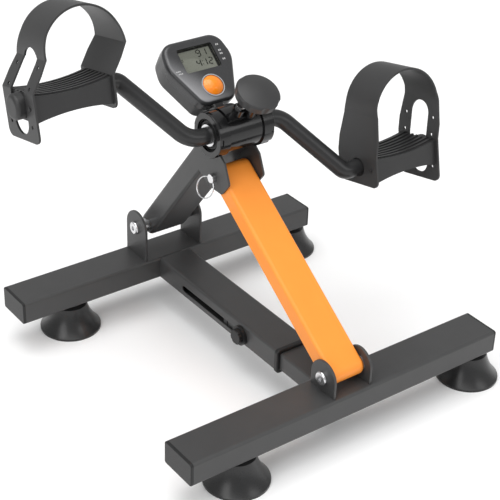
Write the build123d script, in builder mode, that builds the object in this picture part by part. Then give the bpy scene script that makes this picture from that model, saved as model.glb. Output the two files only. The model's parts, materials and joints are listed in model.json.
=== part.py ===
"""Folding pedal exerciser: two crossbars on suction feet, a telescopic base tube, a two-legged
A-frame that carries the pedal hub, a bent one-piece crank, strapped pedals and a small console.

Millimetres. +X is the user's right, -Y the user's side, +Z up. The origin is on the floor,
midway between the crossbars and in the symmetry plane of the legs.
"""

import os
from math import cos, hypot, radians, sin

from build123d import *

os.makedirs("parts", exist_ok=True)

# ---------------------------------------------------------------- driving dimensions
BAR_LENGTH = 393.0
BAR_WIDTH = 45.0
BAR_HEIGHT = 26.0
BAR_CORNER = 3.0
TUBE_WALL = 1.5
BAR_Y = 160.5  # each crossbar's distance from the origin
PLUG_CAP = 3.0
PLUG_TONGUE = 12.0

FOOT_HEIGHT = 38.0
FOOT_RADIUS = 34.0
FOOT_LEFT_X = -127.0
FOOT_RIGHT_X = 183.0
STUD_RADIUS = 4.0
NUT_CLEARANCE = 8.0

SLEEVE_WIDTH = 42.0
SLEEVE_WALL = 1.2
SLEEVE_FRONT_Y = -80.0
COLLAR_LENGTH = 5.0
COLLAR_TONGUE = 24.0
INNER_WIDTH = 37.0
INNER_HEIGHT = 21.0
INNER_REAR_Y = 8.0
SLIDE_GAP = 0.2  # clearance of the sliding tube in its guides
SLOT_HEIGHT = 7.5
SLOT_FRONT_Y = -25.0
SLOT_REAR_Y = 92.0
SLOT_Z = 49.0
BASE_KNOB_Y = -20.0
BASE_KNOB_RADIUS = 11.0

REAR_PIVOT = (160.5, 99.5)  # (y, z) of the axis at the foot of the rear leg
FRONT_PIVOT = (-160.5, 80.0)
HUB = (31.0, 268.0)
TOP_PIN = (33.0, 216.0)

REAR_LEG_WIDTH = 46.0
REAR_LEG_DEPTH = 25.0
FRONT_LEG_WIDTH = 41.0
FRONT_LEG_DEPTH = 21.0
LEG_CORNER = 3.5
EAR_THICKNESS = 3.0
REAR_EAR_RADIUS = 20.0
REAR_EAR_INNER_X = 35.5
FRONT_EAR_RADIUS = 18.5
FRONT_EAR_INNER_X = 21.5
PIVOT_BOLT_RADIUS = 4.0
BUSH_RADIUS = 7.0
RUNNING_GAP = 0.05  # radial, shaft in bush
BODY_GAP = 0.3  # between faces of pieces that move past each other

HUB_RADIUS = 22.0
HUB_BORE = 19.0
HUB_HALF = 32.0
COLLAR_RADIUS = 24.0
ROD_RADIUS = 9.0

CRANK_INNER_X = 55.0
CRANK_OUTER_X = 107.0
CRANK_THROW = (52.3, 57.8)  # (y, z) from the hub axis to the left spindle
CRANK_BEND = 26.0
SPINDLE_RADIUS = 6.0

PEDAL_X = 170.0  # middle of a pedal's tread
PEDAL_HALF = 42.0
PEDAL_DEPTH = 54.0
PEDAL_TILT = -12.0
STRAP_THICKNESS = 2.2

CONSOLE_CENTRE = (92.7, 322.8)  # (y, z) of the display's middle
CONSOLE_X = -2.0
CONSOLE_TILT = 39.0
CONSOLE_WALL = 2.0
BUTTON_RADIUS = 11.0

KNOB_X = 11.0
KNOB_ANGLE = 117.0  # tension knob's axis about the hub, from +Y towards +Z
KNOB_RADIUS = 23.5

# ---------------------------------------------------------------- derived places
BAR_TOP = FOOT_HEIGHT + BAR_HEIGHT
BAR_MID_Z = FOOT_HEIGHT + BAR_HEIGHT / 2
SLEEVE_REAR_Y = BAR_Y - BAR_WIDTH / 2
REAR_LEG_LENGTH = hypot(HUB[0] - REAR_PIVOT[0], HUB[1] - REAR_PIVOT[1])
FRONT_LEG_LENGTH = hypot(TOP_PIN[0] - FRONT_PIVOT[0], TOP_PIN[1] - FRONT_PIVOT[1])


def save(piece, name):
    """Label a finished piece and write it as its own STEP file."""
    piece.part.label = name
    export_step(piece.part, f"parts/{name}.step")


def across(place, x=0.0):
    """A plane square to X at place (y, z), with local x along +Y and local y along +Z."""
    return Plane(origin=(x, *place), x_dir=(0, 1, 0), z_dir=(1, 0, 0))


def upright(x, y, z=0.0):
    """A plane square to Y, facing the user, with local x along +X and local y along +Z."""
    return Plane(origin=(x, y, z), x_dir=(1, 0, 0), z_dir=(0, -1, 0))


def along(start, end):
    """A plane square to X at start, with local x running towards end."""
    run = (0, end[0] - start[0], end[1] - start[1])
    return Plane(origin=(0, *start), x_dir=run, z_dir=(1, 0, 0))


REAR_LEG = along(REAR_PIVOT, HUB)
FRONT_LEG = along(FRONT_PIVOT, TOP_PIN)


def ring_at(name, place, spans, outer, inner):
    """Tubes about an axis along X, one for each (from, to) span of x."""
    with BuildPart() as rings:
        for low, high in spans:
            with BuildSketch(across(place, low)):
                Circle(outer)
                Circle(inner, mode=Mode.SUBTRACT)
            extrude(amount=high - low)
    save(rings, name)


# ---------------------------------------------------------------- crossbars
def crossbar(name, y):
    """A hollow steel bar along X with a stud hole above each foot."""
    inner_length = BAR_LENGTH - 2 * PLUG_CAP
    bore = (BAR_WIDTH - 2 * TUBE_WALL, BAR_HEIGHT - 2 * TUBE_WALL)
    with BuildPart() as bar:
        with BuildSketch(across((y, BAR_MID_Z), -inner_length / 2)):
            RectangleRounded(BAR_WIDTH, BAR_HEIGHT, BAR_CORNER)
            RectangleRounded(*bore, BAR_CORNER - TUBE_WALL, mode=Mode.SUBTRACT)
        extrude(amount=inner_length)
        with Locations((FOOT_LEFT_X, y, FOOT_HEIGHT), (FOOT_RIGHT_X, y, FOOT_HEIGHT)):
            Cylinder(STUD_RADIUS, 3 * TUBE_WALL, mode=Mode.SUBTRACT)
    save(bar, name)


def bar_plugs(name, y):
    """The two moulded plugs that close a crossbar's ends, notched round the right foot's nut."""
    tongue = (BAR_WIDTH - 2 * TUBE_WALL, BAR_HEIGHT - 2 * TUBE_WALL)
    hollow = (tongue[0] - 2 * TUBE_WALL, tongue[1] - 2 * TUBE_WALL)
    with BuildPart() as plugs:
        for side in (-1, 1):
            seat = across((y, BAR_MID_Z), side * (BAR_LENGTH / 2 - PLUG_CAP))
            with BuildSketch(seat):
                RectangleRounded(BAR_WIDTH, BAR_HEIGHT, BAR_CORNER)
            extrude(amount=side * PLUG_CAP)
            with BuildSketch(seat):
                RectangleRounded(*tongue, BAR_CORNER - TUBE_WALL)
                RectangleRounded(*hollow, 1.0, mode=Mode.SUBTRACT)
            extrude(amount=-side * PLUG_TONGUE)
        with BuildSketch(Plane.XY.offset(FOOT_HEIGHT)):
            with Locations((FOOT_RIGHT_X, y)):
                Circle(NUT_CLEARANCE)
        extrude(amount=BAR_HEIGHT / 2, mode=Mode.SUBTRACT)
        ends = plugs.edges().group_by(Axis.X)
        fillet(ends[0] + ends[-1], 1.2)
    save(plugs, name)


# ---------------------------------------------------------------- suction feet
RIM_HEIGHT = 2.5
SHOULDER = (19.0, 31.0)  # (radius, height) where the cone meets the neck
NECK_RADIUS = 15.0
CUP_DEPTH = 3.0
STUD_BOTTOM = 18.0
STUD_TOP = FOOT_HEIGHT + 16.0
STUD_HEAD = (8.0, 5.0)  # radius, height
STUD_NUT = (7.5, 6.0)  # corner radius, height


def suction_foot(name, x, y):
    """A conical rubber suction cup with a pocket for the moulded-in stud."""
    with BuildPart() as foot:
        with BuildSketch(upright(x, y)):
            with BuildLine():
                axis_line = Line((0, CUP_DEPTH), (0, FOOT_HEIGHT))
                top = Line(axis_line @ 1, (NECK_RADIUS, FOOT_HEIGHT))
                neck = Line(top @ 1, (NECK_RADIUS, SHOULDER[1] + 2))
                shoulder = Line(neck @ 1, SHOULDER)
                waist = ThreePointArc(
                    shoulder @ 1,
                    (SHOULDER[0] + 5.5, SHOULDER[1] / 2),
                    (FOOT_RADIUS - 1.0, RIM_HEIGHT + 1),
                )
                lip = Line(waist @ 1, (FOOT_RADIUS, RIM_HEIGHT))
                side = Line(lip @ 1, (FOOT_RADIUS, 0))
                sole = Line(side @ 1, (FOOT_RADIUS - 5, 0))
                hollow = Line(sole @ 1, (FOOT_RADIUS / 3, CUP_DEPTH))
                Line(hollow @ 1, axis_line @ 0)
            make_face()
        revolve(axis=Axis((x, y, 0), (0, 0, 1)))
        with BuildSketch(Plane.XY.offset(STUD_BOTTOM)):
            with Locations((x, y)):
                Circle(STUD_HEAD[0])
        extrude(amount=STUD_HEAD[1], mode=Mode.SUBTRACT)
        with BuildSketch(Plane.XY.offset(STUD_BOTTOM)):
            with Locations((x, y)):
                Circle(STUD_RADIUS)
        extrude(amount=FOOT_HEIGHT - STUD_BOTTOM, mode=Mode.SUBTRACT)
    save(foot, name)


def foot_studs(name, y):
    """The threaded studs that hold a crossbar's two feet."""
    with BuildPart() as studs:
        for x in (FOOT_LEFT_X, FOOT_RIGHT_X):
            with BuildSketch(Plane.XY.offset(STUD_BOTTOM)):
                with Locations((x, y)):
                    Circle(STUD_HEAD[0])
            extrude(amount=STUD_HEAD[1])
            with BuildSketch(Plane.XY.offset(STUD_BOTTOM)):
                with Locations((x, y)):
                    Circle(STUD_RADIUS)
            extrude(amount=STUD_TOP - STUD_BOTTOM)
    save(studs, name)


def stud_nuts(name, y):
    """The weld nuts inside a crossbar that take the foot studs."""
    with BuildPart() as nuts:
        for x in (FOOT_LEFT_X, FOOT_RIGHT_X):
            with BuildSketch(Plane.XY.offset(FOOT_HEIGHT + TUBE_WALL)):
                with Locations((x, y)):
                    RegularPolygon(STUD_NUT[0], 6)
                    Circle(STUD_RADIUS, mode=Mode.SUBTRACT)
            extrude(amount=STUD_NUT[1])
    save(nuts, name)


# ---------------------------------------------------------------- telescopic base tube
def base_sleeve():
    """The outer base tube, welded to the rear bar, with the adjusting slot in its left wall."""
    bore = (SLEEVE_WIDTH - 2 * SLEEVE_WALL, BAR_HEIGHT - 2 * SLEEVE_WALL)
    with BuildPart() as sleeve:
        with BuildSketch(upright(0, SLEEVE_REAR_Y, BAR_MID_Z)):
            RectangleRounded(SLEEVE_WIDTH, BAR_HEIGHT, BAR_CORNER)
            RectangleRounded(*bore, BAR_CORNER - SLEEVE_WALL, mode=Mode.SUBTRACT)
        extrude(amount=SLEEVE_REAR_Y - SLEEVE_FRONT_Y)
        slot_middle = ((SLOT_REAR_Y + SLOT_FRONT_Y) / 2, SLOT_Z)
        with BuildSketch(across(slot_middle, -SLEEVE_WIDTH / 2 - 1)):
            SlotOverall(SLOT_REAR_Y - SLOT_FRONT_Y, SLOT_HEIGHT)
        extrude(amount=SLEEVE_WALL + 2, mode=Mode.SUBTRACT)
    save(sleeve, "base_sleeve")


def sleeve_collar():
    """The moulded collar in the mouth of the sleeve that guides the inner tube."""
    opening = (INNER_WIDTH + 2 * SLIDE_GAP, INNER_HEIGHT + 2 * SLIDE_GAP)
    tongue = (SLEEVE_WIDTH - 2 * SLEEVE_WALL, BAR_HEIGHT - 2 * SLEEVE_WALL)
    with BuildPart() as collar:
        with BuildSketch(upright(0, SLEEVE_FRONT_Y, BAR_MID_Z)):
            RectangleRounded(SLEEVE_WIDTH + 2.4, BAR_HEIGHT + 2.4, BAR_CORNER + 1)
            RectangleRounded(*opening, 2.5, mode=Mode.SUBTRACT)
        extrude(amount=COLLAR_LENGTH)
        rim = collar.faces().sort_by(Axis.Y)[0].outer_wire().edges()
        fillet(rim, 1.5)
        with BuildSketch(upright(0, SLEEVE_FRONT_Y, BAR_MID_Z)):
            RectangleRounded(*tongue, BAR_CORNER - SLEEVE_WALL)
            RectangleRounded(*opening, 1.5, mode=Mode.SUBTRACT)
        extrude(amount=-COLLAR_TONGUE)
    save(collar, "sleeve_collar")


def base_inner_tube():
    """The sliding tube, welded to the front bar."""
    front_y = -BAR_Y + BAR_WIDTH / 2
    bore = (INNER_WIDTH - 2 * TUBE_WALL, INNER_HEIGHT - 2 * TUBE_WALL)
    with BuildPart() as tube:
        with BuildSketch(upright(0, INNER_REAR_Y, BAR_MID_Z)):
            RectangleRounded(INNER_WIDTH, INNER_HEIGHT, 2.5)
            RectangleRounded(*bore, 1.0, mode=Mode.SUBTRACT)
        extrude(amount=INNER_REAR_Y - front_y)
        with BuildSketch(across((BASE_KNOB_Y, SLOT_Z), -INNER_WIDTH / 2 - 1)):
            Circle(3.3)
        extrude(amount=TUBE_WALL + 2, mode=Mode.SUBTRACT)
    save(tube, "base_inner_tube")


def inner_tube_glide():
    """The moulded plug that guides the rear end of the inner tube inside the sleeve."""
    guide = (SLEEVE_WIDTH - 2 * SLEEVE_WALL - 2 * SLIDE_GAP, BAR_HEIGHT - 2 * SLEEVE_WALL - 2 * SLIDE_GAP)
    tongue = (INNER_WIDTH - 2 * TUBE_WALL, INNER_HEIGHT - 2 * TUBE_WALL)
    with BuildPart() as glide:
        with BuildSketch(upright(0, INNER_REAR_Y, BAR_MID_Z)):
            RectangleRounded(*guide, 2.0)
        extrude(amount=-6)
        with BuildSketch(upright(0, INNER_REAR_Y, BAR_MID_Z)):
            RectangleRounded(*tongue, 1.0)
        extrude(amount=10)
    save(glide, "inner_tube_glide")


BASE_KNOB_X = -SLEEVE_WIDTH / 2 - BODY_GAP
BASE_NUT_X = -INNER_WIDTH / 2 + TUBE_WALL
BASE_NUT_THICKNESS = 5.0
BASE_STEM_RADIUS = 3.0


def base_knob():
    """The clamp knob beside the sleeve, with its threaded stem."""
    with BuildPart() as knob:
        with BuildSketch(across((BASE_KNOB_Y, SLOT_Z), BASE_KNOB_X)):
            Circle(BASE_KNOB_RADIUS)
        extrude(amount=-3)
        with BuildSketch(across((BASE_KNOB_Y, SLOT_Z), BASE_KNOB_X - 3)):
            Circle(BASE_KNOB_RADIUS - 2.5)
            with PolarLocations(BASE_KNOB_RADIUS - 1.5, 8):
                Circle(1.6, mode=Mode.SUBTRACT)
        extrude(amount=-5)
        fillet(knob.faces().sort_by(Axis.X)[0].edges(), 1.0)
        with BuildSketch(across((BASE_KNOB_Y, SLOT_Z), BASE_KNOB_X)):
            Circle(BASE_STEM_RADIUS)
        extrude(amount=BASE_NUT_X + BASE_NUT_THICKNESS + 1 - BASE_KNOB_X)
    save(knob, "base_knob")


def base_knob_nut():
    """The square weld nut inside the inner tube that takes the clamp knob."""
    with BuildPart() as nut:
        with BuildSketch(across((BASE_KNOB_Y, SLOT_Z), BASE_NUT_X)):
            Rectangle(11, 11)
            Circle(BASE_STEM_RADIUS + RUNNING_GAP, mode=Mode.SUBTRACT)
        extrude(amount=BASE_NUT_THICKNESS)
    save(nut, "base_knob_nut")


# ---------------------------------------------------------------- leg pivots on the crossbars
def pivot_ears(name, pivot, radius, inner_x):
    """The pair of flat plates standing on a crossbar, rounded about their pivot."""
    rise = pivot[1] - BAR_TOP
    with BuildPart() as ears:
        for low_x in (-inner_x - EAR_THICKNESS, inner_x):
            with BuildSketch(across(pivot, low_x)):
                Circle(radius)
                with Locations((0, -rise / 2)):
                    Rectangle(2 * radius, rise)
                with Locations((0, -rise - radius)):
                    Rectangle(2 * radius, 2 * radius, mode=Mode.SUBTRACT)
                Circle(PIVOT_BOLT_RADIUS, mode=Mode.SUBTRACT)
            extrude(amount=EAR_THICKNESS)
        tops = ears.edges().filter_by(GeomType.CIRCLE).filter_by(lambda e: e.radius > BUSH_RADIUS)
        fillet(tops, 0.6)
    save(ears, name)


BOLT_HEAD = (7.6, 4.2)  # radius, height
BOLT_TAIL = 9.0
NUT_RADIUS = 7.5
NUT_HEIGHT = 7.0


def pivot_bolt(name, pivot, outer_x):
    """A round-head hexagon-socket bolt from left to right through two ears."""
    with BuildPart() as bolt:
        with BuildSketch(across(pivot, -outer_x)):
            Circle(BOLT_HEAD[0])
        extrude(amount=-BOLT_HEAD[1])
        fillet(bolt.faces().sort_by(Axis.X)[0].edges(), 2.2)
        with BuildSketch(across(pivot, -outer_x)):
            Circle(PIVOT_BOLT_RADIUS)
        extrude(amount=2 * outer_x + BOLT_TAIL)
        with BuildSketch(across(pivot, -outer_x - BOLT_HEAD[1])):
            RegularPolygon(2.9, 6)
        extrude(amount=2.4, mode=Mode.SUBTRACT)
    save(bolt, name)


def pivot_nut(name, pivot, outer_x):
    """The lock nut on the right-hand end of a pivot bolt."""
    with BuildPart() as nut:
        with BuildSketch(across(pivot, outer_x)):
            RegularPolygon(NUT_RADIUS, 6)
            Circle(PIVOT_BOLT_RADIUS, mode=Mode.SUBTRACT)
        extrude(amount=NUT_HEIGHT)
    save(nut, name)


# ---------------------------------------------------------------- legs
def leg_blank(plane, length, width, depth, round_top):
    """The outer form of a leg: a tube with a rounded foot and, if asked, a rounded top."""
    with BuildPart() as blank:
        with BuildSketch(plane):
            with Locations((length / 2, 0)):
                Rectangle(length, depth)
            Circle(depth / 2)
            if round_top:
                with Locations((length, 0)):
                    Circle(depth / 2)
        extrude(amount=width / 2, both=True)
        faces = blank.faces().group_by(Axis.X)
        fillet(faces[0].edges() + faces[-1].edges(), LEG_CORNER)
    return blank.part


def leg_cavity(plane, length, width, depth, round_top):
    """The hollow inside a leg."""
    with BuildPart() as cavity:
        with BuildSketch(plane):
            with Locations((length / 2, 0)):
                Rectangle(length, depth - 2 * TUBE_WALL)
            Circle(depth / 2 - TUBE_WALL)
            if round_top:
                with Locations((length, 0)):
                    Circle(depth / 2 - TUBE_WALL)
        extrude(amount=width / 2 - TUBE_WALL, both=True)
    return cavity.part


REAR_BLANK = leg_blank(REAR_LEG, REAR_LEG_LENGTH, REAR_LEG_WIDTH, REAR_LEG_DEPTH, False)
FRONT_BLANK = leg_blank(FRONT_LEG, FRONT_LEG_LENGTH, FRONT_LEG_WIDTH, FRONT_LEG_DEPTH, True)


def rear_leg():
    """The grey leg: rounded about its foot pivot and notched to fit under the hub."""
    with BuildPart() as leg:
        add(REAR_BLANK)
        add(leg_cavity(REAR_LEG, REAR_LEG_LENGTH, REAR_LEG_WIDTH, REAR_LEG_DEPTH, False), mode=Mode.SUBTRACT)
        with BuildSketch(across(HUB)):
            Circle(HUB_RADIUS)
        extrude(amount=REAR_LEG_WIDTH, both=True, mode=Mode.SUBTRACT)
        with BuildSketch(across(HUB, HUB_HALF - 12)):
            Circle(COLLAR_RADIUS)
        extrude(amount=REAR_LEG_WIDTH, mode=Mode.SUBTRACT)
        with BuildSketch(across(HUB, -HUB_HALF + 12)):
            Circle(COLLAR_RADIUS)
        extrude(amount=-REAR_LEG_WIDTH, mode=Mode.SUBTRACT)
        with BuildSketch(REAR_LEG):
            Circle(BUSH_RADIUS)
        extrude(amount=REAR_LEG_WIDTH, both=True, mode=Mode.SUBTRACT)
    save(leg, "rear_leg")


PIN_RADIUS = 3.0
PIN_HOLE_RADIUS = 4.5  # in the front leg; the play takes up the linkage's small misfit


def front_leg():
    """The orange leg: rounded about its foot pivot and about the lock pin."""
    with BuildPart() as leg:
        add(FRONT_BLANK)
        add(leg_cavity(FRONT_LEG, FRONT_LEG_LENGTH, FRONT_LEG_WIDTH, FRONT_LEG_DEPTH, True), mode=Mode.SUBTRACT)
        with BuildSketch(FRONT_LEG):
            Circle(BUSH_RADIUS)
            with Locations((FRONT_LEG_LENGTH, 0)):
                Circle(PIN_HOLE_RADIUS)
        extrude(amount=FRONT_LEG_WIDTH, both=True, mode=Mode.SUBTRACT)
    save(leg, "front_leg")


# Corners of a top ear in the rear leg's plane: distance up the leg, distance in front of it.
TOP_EAR_OUTLINE = ((150, 6), (156, 34), (168, 50), (188, 50), (199, 30), (199, 6))
TOP_EAR_INNER_X = FRONT_LEG_WIDTH / 2 + BODY_GAP


def top_ears():
    """The two plates welded to the front of the rear leg that hold the front leg's top end."""
    with BuildPart() as ears:
        for side in (-1, 1):
            with BuildSketch(REAR_LEG.offset(side * TOP_EAR_INNER_X)):
                with BuildLine():
                    Polyline(*TOP_EAR_OUTLINE, close=True)
                make_face()
            extrude(amount=side * (REAR_LEG_WIDTH / 2 - TOP_EAR_INNER_X))
        fillet(ears.edges().filter_by(Axis.X), 5.0)
        add(REAR_BLANK, mode=Mode.SUBTRACT)
        for side in (-1, 1):
            with BuildSketch(across(HUB, side * TOP_EAR_INNER_X)):
                Circle(COLLAR_RADIUS)
            extrude(amount=side * REAR_LEG_WIDTH, mode=Mode.SUBTRACT)
        with BuildSketch(across(TOP_PIN)):
            Circle(PIN_RADIUS + RUNNING_GAP)
        extrude(amount=REAR_LEG_WIDTH, both=True, mode=Mode.SUBTRACT)
    save(ears, "top_ears")


# ---------------------------------------------------------------- lock pin and its ring
PIN_HEAD = (5.0, 4.6)  # radius, height
PIN_HEAD_X = -REAR_LEG_WIDTH / 2 - BODY_GAP
PIN_TIP_X = REAR_LEG_WIDTH / 2 + 2.5
RING_RADIUS = 11.5
WIRE_RADIUS = 0.75
EYE_RADIUS = 1.7
EYE_OFFSET = 2.2  # from the pin's axis to the eye drilled through its head
RING_DROP = 65.0  # degrees below +Y of the line from the pin to the ring's middle
RING_LEAN = 22.0  # degrees the ring stands out from the ear
RING_HANG = (cos(radians(RING_DROP)), -sin(radians(RING_DROP)))
EYE = (TOP_PIN[0] + EYE_OFFSET * RING_HANG[0], TOP_PIN[1] + EYE_OFFSET * RING_HANG[1])
EYE_X = PIN_HEAD_X - PIN_HEAD[1] / 2


def lock_pin():
    """The quick-release pin through both top ears and the front leg, drilled for its ring."""
    with BuildPart() as pin:
        with BuildSketch(across(TOP_PIN, PIN_HEAD_X)):
            Circle(PIN_RADIUS)
        extrude(amount=PIN_TIP_X - PIN_HEAD_X)
        chamfer(pin.faces().sort_by(Axis.X)[-1].edges(), 1.0)
        with BuildSketch(across(TOP_PIN, PIN_HEAD_X)):
            Circle(PIN_HEAD[0])
        extrude(amount=-PIN_HEAD[1])
        fillet(pin.faces().sort_by(Axis.X)[0].edges(), 0.5)
        eye_plane = Plane(
            origin=(EYE_X, *EYE),
            x_dir=(1, 0, 0),
            z_dir=(0, -RING_HANG[1], RING_HANG[0]),
        )
        with BuildSketch(eye_plane):
            Circle(EYE_RADIUS)
        extrude(amount=2 * PIN_HEAD[0], both=True, mode=Mode.SUBTRACT)
    save(pin, "lock_pin")


def pin_ring():
    """The wire pull ring through the eye in the pin's head."""
    lean = radians(RING_LEAN)
    hang = (-sin(lean), cos(lean) * RING_HANG[0], cos(lean) * RING_HANG[1])
    centre = (EYE_X + RING_RADIUS * hang[0], EYE[0] + RING_RADIUS * hang[1], EYE[1] + RING_RADIUS * hang[2])
    swing = (0, -RING_HANG[1], RING_HANG[0])
    with BuildPart() as ring:
        with BuildSketch(Plane(origin=centre, x_dir=hang, z_dir=swing)):
            with Locations((RING_RADIUS, 0)):
                Circle(WIRE_RADIUS)
        face = Vector(*hang).cross(Vector(*swing))
        revolve(axis=Axis(centre, face))
    save(ring, "pin_ring")


# ---------------------------------------------------------------- hub
KNOB_DIRECTION = (0, cos(radians(KNOB_ANGLE)), sin(radians(KNOB_ANGLE)))
BOSS_RADIUS = 9.0
BOSS_TOP = 33.0
SCREW_RADIUS = 4.0


def knob_plane(distance):
    """A plane square to the tension knob's axis, the given distance from the hub's axis."""
    origin = (KNOB_X, HUB[0] + distance * KNOB_DIRECTION[1], HUB[1] + distance * KNOB_DIRECTION[2])
    return Plane(origin=origin, x_dir=(1, 0, 0), z_dir=KNOB_DIRECTION)


def hub_shell():
    """The hub barrel on top of the rear leg, with the boss that guides the tension screw."""
    with BuildPart() as hub:
        with BuildSketch(across(HUB)):
            Circle(HUB_RADIUS)
        extrude(amount=HUB_HALF, both=True)
        with BuildSketch(knob_plane(0)):
            Circle(BOSS_RADIUS)
        extrude(amount=BOSS_TOP)
        with BuildSketch(across(HUB)):
            Circle(HUB_BORE)
        extrude(amount=HUB_HALF + 1, both=True, mode=Mode.SUBTRACT)
        with BuildSketch(knob_plane(0)):
            Circle(SCREW_RADIUS + RUNNING_GAP)
        extrude(amount=BOSS_TOP + 1, mode=Mode.SUBTRACT)
    save(hub, "hub_shell")


COLLAR_INNER_X = 21.0
COLLAR_LIP = 1.8
COLLAR_MOUTH = 17.5
COLLAR_NOTCHES = 8


def hub_collars():
    """The notched rings screwed over the two ends of the hub barrel."""
    face_x = HUB_HALF + COLLAR_LIP
    with BuildPart() as collars:
        for side in (-1, 1):
            with BuildSketch(across(HUB, side * COLLAR_INNER_X)):
                Circle(COLLAR_RADIUS)
                Circle(HUB_RADIUS, mode=Mode.SUBTRACT)
            extrude(amount=side * (HUB_HALF - COLLAR_INNER_X))
            with BuildSketch(across(HUB, side * HUB_HALF)):
                Circle(COLLAR_RADIUS)
                Circle(COLLAR_MOUTH, mode=Mode.SUBTRACT)
            extrude(amount=side * COLLAR_LIP)
        for end in (0, -1):
            fillet(collars.faces().sort_by(Axis.X)[end].outer_wire().edges(), 1.0)
        for side in (-1, 1):
            with BuildSketch(across(HUB, side * (face_x - 4))):
                with PolarLocations(COLLAR_RADIUS, COLLAR_NOTCHES):
                    Rectangle(2.4, 7)
            extrude(amount=side * 5, mode=Mode.SUBTRACT)
    save(collars, "hub_collars")


BUSH_INNER_X = 18.0
BUSH_OUTER_X = HUB_HALF - 0.6
BUSH_GROOVES = ((16.4, 14.6, 3.0), (13.2, 12.2, 2.0))  # outer radius, inner radius, depth


def hub_bushes():
    """The stepped plastic bearing bushes in the two ends of the hub."""
    with BuildPart() as bushes:
        for side in (-1, 1):
            with BuildSketch(across(HUB, side * BUSH_INNER_X)):
                Circle(HUB_BORE)
                Circle(ROD_RADIUS + RUNNING_GAP, mode=Mode.SUBTRACT)
            extrude(amount=side * (BUSH_OUTER_X - BUSH_INNER_X))
            for outer, inner, depth in BUSH_GROOVES:
                with BuildSketch(across(HUB, side * (BUSH_OUTER_X - depth))):
                    Circle(outer)
                    Circle(inner, mode=Mode.SUBTRACT)
                extrude(amount=side * (depth + 1), mode=Mode.SUBTRACT)
    save(bushes, "hub_bushes")


SHOE_TOP = 16.0
SHOE_HALF = 6.0


def brake_shoe():
    """The friction pad that the tension screw presses on the crank."""
    with BuildPart() as shoe:
        with BuildSketch(knob_plane(4)):
            Rectangle(2 * SHOE_HALF, 2 * SHOE_HALF)
        extrude(amount=SHOE_TOP - 4)
        with BuildSketch(across(HUB)):
            Circle(ROD_RADIUS + RUNNING_GAP)
        extrude(amount=2 * HUB_HALF, both=True, mode=Mode.SUBTRACT)
    save(shoe, "brake_shoe")


SCREW_BOTTOM = SHOE_TOP + BODY_GAP
SCREW_TOP = 50.0


def tension_screw():
    """The screw moulded into the tension knob."""
    with BuildPart() as screw:
        with BuildSketch(knob_plane(SCREW_BOTTOM)):
            Circle(SCREW_RADIUS)
        extrude(amount=SCREW_TOP - SCREW_BOTTOM)
    save(screw, "tension_screw")


KNOB_NECK = (10.5, 33.5)  # radius, distance of its underside from the hub's axis
KNOB_RIM = (44.0, 53.0)  # underside and upper edge of the rim
KNOB_CROWN = 57.0
SCALLOPS = 7
SCALLOP_RADIUS = 9.0
SCALLOP_DEPTH = 1.3


def tension_knob():
    """The mushroom knob: a neck, a scalloped rim and a shallow domed top."""
    base = Plane(origin=knob_plane(0).origin, x_dir=(1, 0, 0), z_dir=Vector(*KNOB_DIRECTION).cross(Vector(1, 0, 0)))
    with BuildPart() as knob:
        with BuildSketch(base):
            with BuildLine():
                neck = Line((0, -KNOB_NECK[1]), (KNOB_NECK[0], -KNOB_NECK[1]))
                throat = Line(neck @ 1, (KNOB_NECK[0], -KNOB_RIM[0] + 4))
                flare = ThreePointArc(throat @ 1, (KNOB_NECK[0] + 4, -KNOB_RIM[0] + 1), (KNOB_RADIUS - 1, -KNOB_RIM[0]))
                rim = Line(flare @ 1, (KNOB_RADIUS, -KNOB_RIM[1] + 2))
                edge = Line(rim @ 1, (KNOB_RADIUS - 1.5, -KNOB_RIM[1]))
                crown = TangentArc((0, -KNOB_CROWN), edge @ 1, tangent=(1, 0))
                Line(crown @ 0, neck @ 0)
            make_face()
        revolve(axis=Axis(base.origin, KNOB_DIRECTION))
        with BuildSketch(knob_plane(KNOB_RIM[0] - 2)):
            with PolarLocations(KNOB_RADIUS + SCALLOP_RADIUS - SCALLOP_DEPTH, SCALLOPS):
                Circle(SCALLOP_RADIUS)
        extrude(amount=KNOB_CROWN, mode=Mode.SUBTRACT)
        with BuildSketch(knob_plane(0)):
            Circle(SCREW_RADIUS)
        extrude(amount=SCREW_TOP, mode=Mode.SUBTRACT)
    save(knob, "tension_knob")


# ---------------------------------------------------------------- crank
SPINDLE_START = PEDAL_X - PEDAL_HALF - 0.4
SPINDLE_END = PEDAL_X + PEDAL_HALF + 2.0
THROW = hypot(*CRANK_THROW)
THROW_DIRECTION = (CRANK_THROW[0] / THROW, CRANK_THROW[1] / THROW)


def crank():
    """The one-piece bent rod: axle, two opposed arms and turned-down pedal spindles."""
    swing_plane = Plane(
        origin=(0, *HUB),
        x_dir=(1, 0, 0),
        z_dir=(0, -THROW_DIRECTION[1], THROW_DIRECTION[0]),
    )
    with BuildPart() as rod:
        with BuildLine(swing_plane):
            FilletPolyline(
                (-SPINDLE_START, THROW),
                (-CRANK_OUTER_X, THROW),
                (-CRANK_INNER_X, 0),
                (CRANK_INNER_X, 0),
                (CRANK_OUTER_X, -THROW),
                (SPINDLE_START, -THROW),
                radius=(9.0, CRANK_BEND, CRANK_BEND, 9.0),
            )
        with BuildSketch(across((HUB[0] + CRANK_THROW[0], HUB[1] + CRANK_THROW[1]), -SPINDLE_START)):
            Circle(ROD_RADIUS)
        sweep()
        for side in (-1, 1):
            spindle = (HUB[0] - side * CRANK_THROW[0], HUB[1] - side * CRANK_THROW[1])
            with BuildSketch(across(spindle, side * SPINDLE_START)):
                Circle(SPINDLE_RADIUS)
            extrude(amount=side * (SPINDLE_END - SPINDLE_START))
    save(rod, "crank")


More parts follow.
